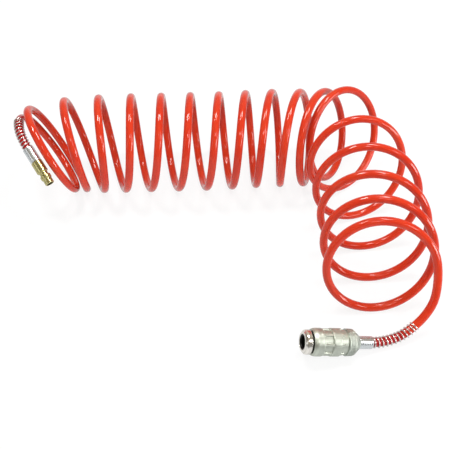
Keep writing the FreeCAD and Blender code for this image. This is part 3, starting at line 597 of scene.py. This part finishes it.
# The tube: an outer and an inner skin round the line, joined by a ring at each end. Each ring starts on
# the side that the loops' axis points to. Winding makes the tube oval, a little wider along that axis
# than across it, and its two straight ends stay round. Where the loops rest on the table, the skin is
# pressed flat.
def makeHose():
    route, headings = hoseRoute()
    path = smoothLine(route, hose["ringsPerPoint"])
    way = unit(np.gradient(path, axis=0))
    heading = np.radians(np.interp(np.linspace(0, 1, len(path)), np.linspace(0, 1, len(route)), headings))
    axis = np.stack([np.cos(heading), np.sin(heading), np.zeros(len(path))], axis=-1)
    side = unit(axis - way * np.sum(axis * way, axis=1, keepdims=True))
    upper = np.cross(way, side)
    run = pathLength(path)
    oval = smoothStep(np.minimum(run, run[-1] - run), hose["roundEnd"], hose["ovalFrom"])[:, None]
    side, upper = side * (1 + (hose["wide"] - 1) * oval), upper * (1 + (hose["high"] - 1) * oval)
    outer = tubeGrid(path, side, upper, hose["tubeRadius"], hose["around"])
    inner = tubeGrid(path, side, upper, hose["boreRadius"], hose["around"])
    outer[..., 2] = np.maximum(outer[..., 2], 0.0)
    grid = np.concatenate([outer, inner[::-1]])
    along = np.concatenate([run, run[::-1] + hose["endRing"], [0]])
    across = np.linspace(0, 2 * pi, hose["around"] + 1) * hose["tubeRadius"]
    piece = finishedObject(gridMesh("spiral_hose", grid, (across, along)), "spiral_hose", "tube")
    dress(piece, "red_hose", "hose", "hose_plug_end", "hose_long_row", "hose_short_row", "hose_coupler_end")
    return piece, path


hoseTube, hosePath = makeHose()
print("hose: %d rings, %.0f mm" % (len(hosePath), pathLength(hosePath)[-1]))


# A round wire along a line that winds about something: each ring's first side points outward from it.
def woundWire(name, line, outward, radius, node, around=12):
    along = unit(np.gradient(line, axis=0))
    side = unit(outward - along * np.sum(outward * along, axis=1, keepdims=True))
    grid = tubeGrid(line, side, np.cross(along, side), radius, around)
    lengths = (np.linspace(0, 2 * pi * radius, around + 1), pathLength(line))
    piece = finishedObject(gridMesh(name, grid, lengths, capped=True), name, "tube")
    return dress(piece, "spring_steel", "hose", node)


# Bend springs

# Reach is how far apart a spring's ends are. Its last curl closes by a share of the others' pitch.
bendSpring = {
    "wire": 0.62, "gap": 0.15, "seat": 1.6, "closing": 0.28, "stepsPerCurl": 40,
    "plug": {"reach": 40.5, "curls": 11}, "coupler": {"reach": 49.6, "curls": 12},
}


# A wire wound round the hose: its middle goes round the line at a steady radius while it moves along,
# and its last curl closes on the one before.
def makeBendSpring(name, node, path, reference, reach, curls):
    turn = np.linspace(0, curls, int(curls * bendSpring["stepsPerCurl"]) + 1)
    closing = np.clip(turn - (curls - 1), 0, 1)
    spread = (turn - bendSpring["closing"] * closing**2) / (curls - bendSpring["closing"])
    run = pathLength(path)
    at = hose["grip"] - bendSpring["seat"] + reach * spread
    middle = np.stack([np.interp(at, run, path[:, k]) for k in range(3)], axis=-1)
    way = unit(np.gradient(middle, axis=0))
    across = unit(np.cross(way, reference))
    radius = hose["tubeRadius"] + bendSpring["gap"] + bendSpring["wire"]
    angle = (2 * pi * turn)[:, None]
    outward = across * np.cos(angle) + np.cross(way, across) * np.sin(angle)
    return woundWire(name, middle + radius * outward, outward, bendSpring["wire"], node)


makeBendSpring("plug_spring", "plug_bend_spring", hosePath, np.array([1.0, 0, 0]), **bendSpring["plug"])
couplerSpring = makeBendSpring(
    "coupler_spring", "coupler_bend_spring", hosePath[::-1], np.array([0, 0, 1.0]), **bendSpring["coupler"])
print("bend springs are wound")


# Plug and ferrules

plugPlace, couplerPlace = fittingPlace(plug), fittingPlace(coupler)

# Each front is a depth behind its fitting's end. A ferrule's back is where the hose goes in.
ferrule = {
    "inner": 4.27, "mouth": 5.79, "mouthDepth": 2.6, "radius": 6.1, "bevel": 0.25, "lip": 0.2,
    "plugFront": 28.5, "couplerFront": 56.6,
}


# A tube with bevelled ends and a wider mouth behind, in which the bend spring's first curl sits.
def makeFerrule(name, place, front, back, node):
    inner, mouth, radius, bevel = ferrule["inner"], ferrule["mouth"], ferrule["radius"], ferrule["bevel"]
    mouthFloor = back - ferrule["mouthDepth"]
    corners = [
        (inner, front, 0), (radius - bevel, front, 0.15), (radius, front + bevel, 0.3),
        (radius, back - bevel, 0.3), (radius - ferrule["lip"], back, 0.1), (mouth, back, 0.1),
        (mouth, mouthFloor, 0.3), (inner, mouthFloor, 0)]
    return dress(turnedPiece(name, place, corners, around=96), "bright_ferrule", "hose", node)


makeFerrule("plug_sleeve", plugPlace, ferrule["plugFront"], plug["length"], "plug_ferrule")
couplerFerrule = makeFerrule(
    "coupler_sleeve", couplerPlace, ferrule["couplerFront"], coupler["length"], "coupler_ferrule")

# radius, depth behind the tip and rounding, round the outside, then back through the barbs and the bore
plugOutline = [
    (3.7, 0, 0.15), (4.55, 0, 0.3), (5.0, 0.6, 0.5), (5.0, 6.0, 0.4), (5.9, 7.0, 0.35), (5.9, 10.4, 0.35),
    (4.6, 11.3, 0.5), (4.6, 15.0, 0.4), (5.75, 15.0, 0.15), (6.25, 15.5, 0.2), (6.25, 28.0, 0.2),
    (5.75, 28.5, 0.15), (4.25, 28.5, 0.2), (4.25, 30.45, 0.2), (2.95, 30.45, 0.05), (2.6, 33.45, 0.05),
    (2.95, 33.5, 0.05), (2.6, 36.45, 0.05), (2.95, 36.5, 0.05), (2.6, 39.45, 0.05), (2.6, 44.5, 0.1),
    (2.0, 44.5, 0.1), (2.0, 18.0, 0.2), (3.7, 16.0, 0.3)]
dress(turnedPiece("hose_plug", plugPlace, plugOutline), "zinc_plug", "hose", "plug_body")
print("plug and ferrules are made")


# Coupler

# In each outline: radius, depth behind the coupler's end, and rounding
noseOutline = [
    (7.4, 4.5, 0), (7.4, 0.0, 0.15), (9.2, 0.0, 0.8), (11.7, 2.0, 2.6), (11.7, 6.0, 0.3), (11.2, 6.5, 0.15),
    (7.8, 6.5, 0.1), (7.8, 4.5, 0)]
noseRing = turnedPiece("nose", couplerPlace, noseOutline, around=128, steps=7)
dress(noseRing, "polished_nickel", "hose", "nose_ring")

bushOutline = [(6.35, 4.5, 0), (6.35, 1.4, 0.4), (7.2, 0.3, 0.08), (7.4, 0.3, 0.05), (7.4, 4.5, 0)]
guideBush = dress(turnedPiece("mouth_bush", couplerPlace, bushOutline), "dark_steel", "hose", "guide_bush")

stopOutline = [(7.8, 6.5, 0), (10.6, 6.5, 0.15), (10.6, 7.5, 0.15), (7.8, 7.5, 0)]
stopRing = dress(turnedPiece("sleeve_stop", couplerPlace, stopOutline), "dark_steel", "hose", "stop_ring")

sleeve = {
    "recesses": 8,
    "halfAngle": radians(17.0),
    "phase": radians(17.0),
    "radius": 13.3,
    "waist": 12.9,
    "innerRadius": 11.76,
    "backEnd": 38.2,
    "recessFront": 18.8,
    "recessMiddle": 22.6,
    "recessBack": 26.5,
    "recessFloor": 11.8,
    "notchFront": 35.6,
    "notchFloor": 12.4,
    # the walls of a recess or notch lean over a lip to each side of its edge
    "lip": 0.32,
    "lipRings": (-1, -0.5, 0, 0.5, 1),
    # columns over half a recess's floor, over one lip and over half of what is between two recesses, and
    # how many lips wide the close-set ones spread and the others keep off
    "floorColumns": 5,
    "lipColumns": 9,
    "landColumns": 3,
    "closeSpread": 1.2,
    "keepOff": 1.5,
}


# Angles round the sleeve, close together at the sides of each recess and wider apart between them.
def sleeveAngles():
    pitch = 2 * pi / sleeve["recesses"]
    wall = sleeve["lip"] / sleeve["radius"]
    half, rest, clear = sleeve["halfAngle"], pitch / 2, sleeve["keepOff"] * wall
    close = np.linspace(-sleeve["closeSpread"], sleeve["closeSpread"], sleeve["lipColumns"]) * wall
    floor = np.linspace(0, half - clear, sleeve["floorColumns"])
    land = np.linspace(half + clear, rest, sleeve["landColumns"])[:-1]
    right = np.concatenate([floor, half + close, land])
    one = np.unique(np.round(np.concatenate([-right[::-1], right]), 6))
    one = np.concatenate([one, [rest]])
    return (sleeve["phase"] + one[None, :] + np.arange(sleeve["recesses"])[:, None] * pitch).ravel()


# Recesses and notches: within their angle and depth the radius falls to their floor, by smooth steps.
def sleeveShape(radius, depth, angle):
    pitch = 2 * pi / sleeve["recesses"]
    lip = sleeve["lip"]
    wall = lip / sleeve["radius"]
    offset = np.abs((angle - sleeve["phase"] + pitch / 2) % pitch - pitch / 2)
    inAngle = 1 - smoothStep(offset, sleeve["halfAngle"] - wall, sleeve["halfAngle"] + wall)
    pastFront = smoothStep(depth, sleeve["recessFront"] - lip, sleeve["recessFront"] + lip)
    pastBack = smoothStep(depth, sleeve["recessBack"] - lip, sleeve["recessBack"] + lip)
    inRecess = pastFront * (1 - pastBack)
    inNotch = smoothStep(depth, sleeve["notchFront"] - lip, sleeve["notchFront"] + lip)
    recessFall = np.maximum(0, radius - sleeve["recessFloor"]) * inAngle * inRecess
    notchFall = np.maximum(0, radius - sleeve["notchFloor"]) * inAngle * inNotch
    return radius - (recessFall + notchFall), depth


# The outline, with a ring for each place on a lip where the recesses and the notches begin and end.
def sleeveOutline():
    radius, waist = sleeve["radius"], sleeve["waist"]
    inner, end = sleeve["innerRadius"], sleeve["backEnd"]
    lip = [shift * sleeve["lip"] for shift in sleeve["lipRings"]]
    front = [(12.1, 8.0, 0.3), (radius, 11.0, 6.0), (radius, 17.7, 0.4), (waist, 18.2, 0.3)]
    recessFront = [(waist, sleeve["recessFront"] + shift, 0) for shift in lip]
    recessBack = [(waist, sleeve["recessBack"] + shift, 0) for shift in lip]
    step = [(waist, 27.0, 0.15), (radius, 27.5, 0.4)]
    notch = [(radius, sleeve["notchFront"] + shift, 0) for shift in lip]
    back = [(radius, end - 0.5, 0.2), (radius - 0.5, end, 0.15), (inner, end, 0.1)]
    bore = [
        (inner, 30.2, 0), (10.7, 30.2, 0), (10.7, 18.5, 0), (7.86, 18.5, 0), (7.86, 14.285, 0),
        (10.148, 8.0, 0.1)]
    middle = (waist, sleeve["recessMiddle"], 0)
    return [*front, *recessFront, middle, *recessBack, *step, *notch, *back, *bore]


grip = turnedPiece("grip", couplerPlace, sleeveOutline(), shape=sleeveShape, angles=sleeveAngles())
dress(grip, "satin_nickel", "sleeve", "grip_sleeve")

cap = {
    "knurls": 54,
    "pointsPerKnurl": 8,
    "longest": 0.25,
    "height": 0.36,
    "pitch": 1.5,
    "front": 43.3,
    "back": 56.0,
    # over how much depth the knurling comes in and fades
    "comeIn": 0.2,
    "fade": 0.6,
    # where the chamfer begins, how fast it falls, and how much of the fall counts as a groove's run
    "chamfer": 50.0,
    "chamferRadius": 12.8,
    "slope": 0.94,
    "runShare": 0.8,
    "skin": 1.0,
}


# Fine diamond knurling: two sets of slanted grooves cross, and what stands between them is the lower of
# the two saw waves. It fades out at the cap's two rims, and moves only what is in the outer skin.
def knurlShape(radius, depth, angle):
    turns = angle * cap["knurls"] / (2 * pi)
    run = depth + np.maximum(0, cap["chamferRadius"] - radius) * cap["runShare"]
    first = np.abs((turns + run / cap["pitch"]) % 1 - 0.5) * 2
    second = np.abs((turns - run / cap["pitch"]) % 1 - 0.5) * 2
    pastFront = smoothStep(depth, cap["front"] - cap["comeIn"], cap["front"] + cap["comeIn"])
    inside = pastFront * (1 - smoothStep(depth, cap["back"] - cap["fade"], cap["back"]))
    skinFloor = cap["chamferRadius"] - cap["skin"] - cap["slope"] * np.maximum(0, depth - cap["chamfer"])
    return radius - cap["height"] * (1 - np.minimum(first, second)) * inside * (radius > skinFloor), depth


capOutline = [
    (11.7, 42.4, 0.1), (12.6, 42.4, 0.2), (13.1, 42.9, 0.3), (12.8, 50.0, 3.0), (6.6, 56.6, 0.3),
    (5.0, 56.6, 0.2), (5.0, 54.0, 0), (8.0, 54.0, 0), (8.0, 51.0, 0), (9.5, 51.0, 0), (9.5, 44.0, 0),
    (11.7, 44.0, 0)]
rearCap = turnedPiece(
    "knurled_cap", couplerPlace, capOutline, around=cap["knurls"] * cap["pointsPerKnurl"],
    longest=cap["longest"], shape=knurlShape)
dress(rearCap, "coarse_nickel", "hose", "rear_cap")

# The two springs inside, each between a moving shoulder in front and a fixed one behind. They are wound
# about the coupler's axis.
innerSprings = {
    "sleeve_spring": {
        "radius": 9.75, "wire": 0.65, "front": 18.5, "back": 34.5, "gap": 0.05, "turns": 5,
        "stepsPerTurn": 40, "joint": "sleeve_slide", "travel": 4.0},
    "valve_spring": {
        "radius": 4.1, "wire": 0.45, "front": 32.0, "back": 47.0, "gap": 0.05, "turns": 6,
        "stepsPerTurn": 40, "joint": "valve_slide", "travel": 3.0},
}


# A helix of steady pitch that fills the space between the two shoulders, less a small gap at each.
def makeInnerSpring(node, spring):
    turn = np.linspace(0, spring["turns"], spring["turns"] * spring["stepsPerTurn"] + 1)
    first = spring["front"] + spring["gap"] + spring["wire"]
    rise = spring["back"] - spring["front"] - 2 * (spring["gap"] + spring["wire"])
    depth, angle = (first + rise * turn / spring["turns"])[:, None], (2 * pi * turn)[:, None]
    outward = couplerPlace["level"] * np.cos(angle) + couplerPlace["upper"] * np.sin(angle)
    line = couplerPlace["end"] + spring["radius"] * outward - couplerPlace["outward"] * depth
    piece = woundWire("inner_" + node, line, outward, spring["wire"], node)
    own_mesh(piece)
    return piece


coiledInside = [makeInnerSpring(node, spring) for node, spring in innerSprings.items()]
print("coupler is made")


# Table, background and light

# Each range is low and high along one of the room's three ways, then the values there.
studio = {
    "table": 8.0,
    "tableColour": (0.86, 0.86, 0.85, 1),
    "tableGloss": 0.2,
    "tableRoughness": (0.55, 0.7),
    "tableGrain": (300.0, 4.0),
    # how much of it is plain white where it is seen, and how bright that white is in reflections
    "tableShare": 0.84,
    "tableReflected": 0.7,
    # soft light on surfaces, from the front to the back
    "ambient": (-0.8, 0.8, 0.78, 0.45),
    # what is reflected: from front to back, from the horizon upwards, and from the middle to the sides
    "reflectedBack": (-0.9, 0.5, 0.35, 1.0),
    "reflectedUp": (0.02, 0.4, 1.0, 0.55),
    "reflectedSides": (0.2, 0.8, 1.0, 0.5),
    "overheadColour": (1.0, 0.86, 0.66, 1),
    "overheadTint": (0.1, 0.6, 0.0, 1.0),
}
white = (1, 1, 1, 1)

# Each pane of light: the way to it, how far off it is, its width and height, and its power.
panes = {
    "ceiling_left": ((-0.27, 0.15, 0.95), 1.5, (0.42, 0.22), 8.5),
    "ceiling_right": ((0.25, 0.17, 0.95), 1.5, (0.42, 0.22), 8.5),
    "front": ((0.12, -0.55, 0.83), 1.5, (0.22, 0.16), 2.0),
    "left_strip": ((-0.75, -0.45, 0.45), 1.5, (0.25, 0.70), 0.8),
    "right_screen": ((0.88, -0.33, 0.26), 1.5, (0.90, 0.28), 9.0),
    "right_upper": ((0.66, -0.38, 0.65), 1.5, (0.50, 0.22), 2.5),
}


# 1 for a ray from the camera, off a glossy surface or through a clear one, and 0 for any other.
def whiteRays(tree):
    rays = addNode(tree, "ShaderNodeLightPath").outputs
    seen = combine(tree, "MAXIMUM", rays["Is Camera Ray"], rays["Is Glossy Ray"])
    return combine(tree, "MAXIMUM", seen, rays["Is Transmission Ray"])


# A level square about the origin. Its matt surface, which takes the object's shadow, is mixed with
# plain white for the rays that see it, so that it runs into the white room.
def makeTable():
    half = studio["table"] / 2
    mesh = bpy.data.meshes.new("table")
    corners = [(-half, -half, 0), (half, -half, 0), (half, half, 0), (-half, half, 0)]
    mesh.from_pydata(corners, [], [(0, 1, 2, 3)])
    table = bpy.data.objects.new("table", mesh)
    bpy.context.scene.collection.objects.link(table)
    material, tree, shader = newMaterial("white_table")
    place = addNode(tree, "ShaderNodeTexCoord").outputs["Object"]
    grain = noise(tree, place, *studio["tableGrain"])
    tree.links.new(remap(tree, grain, *noiseSpan, *studio["tableRoughness"]), shader.inputs["Roughness"])
    shader.inputs["Base Color"].default_value = studio["tableColour"]
    shader.inputs["Specular IOR Level"].default_value = studio["tableGloss"]
    seen = addNode(tree, "ShaderNodeLightPath").outputs["Is Camera Ray"]
    strength = remap(tree, seen, 0.0, 1.0, studio["tableReflected"], 1.0)
    glow = addNode(tree, "ShaderNodeEmission", Color=white, Strength=strength)
    share = combine(tree, "MULTIPLY", whiteRays(tree), studio["tableShare"])
    mixed = addNode(tree, "ShaderNodeMixShader", Fac=share, i1=shader.outputs[0], i2=glow.outputs[0])
    output = next(node for node in tree.nodes if node.type == "OUTPUT_MATERIAL")
    tree.links.new(mixed.outputs["Shader"], output.inputs["Surface"])
    table.data.materials.append(material)


# The room: soft light on surfaces, a little stronger from the front, and white where it is seen. In
# reflections it is bright near the horizon behind, and darker overhead, at the sides and in front: the
# product of a range for each way.
def makeRoom():
    world = bpy.data.worlds.new("room")
    bpy.context.scene.world = world
    world.use_nodes = True
    tree = world.node_tree
    tree.nodes.clear()
    rays = addNode(tree, "ShaderNodeLightPath").outputs
    generated = addNode(tree, "ShaderNodeTexCoord").outputs["Generated"]
    way = addNode(tree, "ShaderNodeSeparateXYZ", Vector=generated).outputs
    back = remap(tree, way["Y"], *studio["reflectedBack"])
    up = remap(tree, way["Z"], *studio["reflectedUp"])
    sides = remap(tree, combine(tree, "ABSOLUTE", way["X"], 0.0), *studio["reflectedSides"])
    shade = combine(tree, "MULTIPLY", combine(tree, "MULTIPLY", back, up), sides)
    warmth = remap(tree, way["Z"], *studio["overheadTint"])
    tint = mixColours(tree, warmth, white, studio["overheadColour"])
    ambient = remap(tree, way["Y"], *studio["ambient"])
    reflected = addNode(tree, "ShaderNodeBackground", Color=tint, Strength=shade)
    seen = addNode(tree, "ShaderNodeBackground", Color=white, Strength=1.0)
    soft = addNode(tree, "ShaderNodeBackground", Color=white, Strength=ambient)
    other = combine(tree, "MAXIMUM", rays["Is Glossy Ray"], rays["Is Transmission Ray"])
    first = addNode(tree, "ShaderNodeMixShader", Fac=other, i1=soft.outputs[0], i2=reflected.outputs[0])
    direct = rays["Is Camera Ray"]
    second = addNode(tree, "ShaderNodeMixShader", Fac=direct, i1=first.outputs[0], i2=seen.outputs[0])
    output = tree.nodes.new("ShaderNodeOutputWorld")
    tree.links.new(second.outputs[0], output.inputs["Surface"])


# A rectangle of light at a distance along its way, turned to face the origin.
def makePane(name, way, distance, size, power):
    light = bpy.data.lights.new(name, "AREA")
    light.shape = "RECTANGLE"
    light.size, light.size_y = size
    light.energy = power
    lamp = bpy.data.objects.new(name, light)
    bpy.context.scene.collection.objects.link(lamp)
    way = unit(np.array(way, float))
    lamp.location = way * distance
    lamp.rotation_euler = Vector(-way).to_track_quat("-Z", "Y").to_euler()


makeTable()
makeRoom()
for name, pane in panes.items():
    makePane(name, *pane)
print("table, room and panes are set")


# Camera

# Metres, degrees up from straight down, millimetres, and shares of the frame's width.
view = {
    "location": (0.0187, -0.5121, 0.5277),
    "tilt": 44.88,
    "sensor": 36,
    "lens": 52.61,
    "shift": (-0.0156, 0.0172),
}

camera = bpy.data.objects.new("camera", bpy.data.cameras.new("camera"))
bpy.context.scene.collection.objects.link(camera)
camera.location = view["location"]
camera.rotation_euler = (radians(view["tilt"]), 0, 0)
camera.data.sensor_width = view["sensor"]
camera.data.lens = view["lens"]
camera.data.shift_x, camera.data.shift_y = view["shift"]
bpy.context.scene.camera = camera
bpy.context.scene.view_settings.view_transform = "Standard"
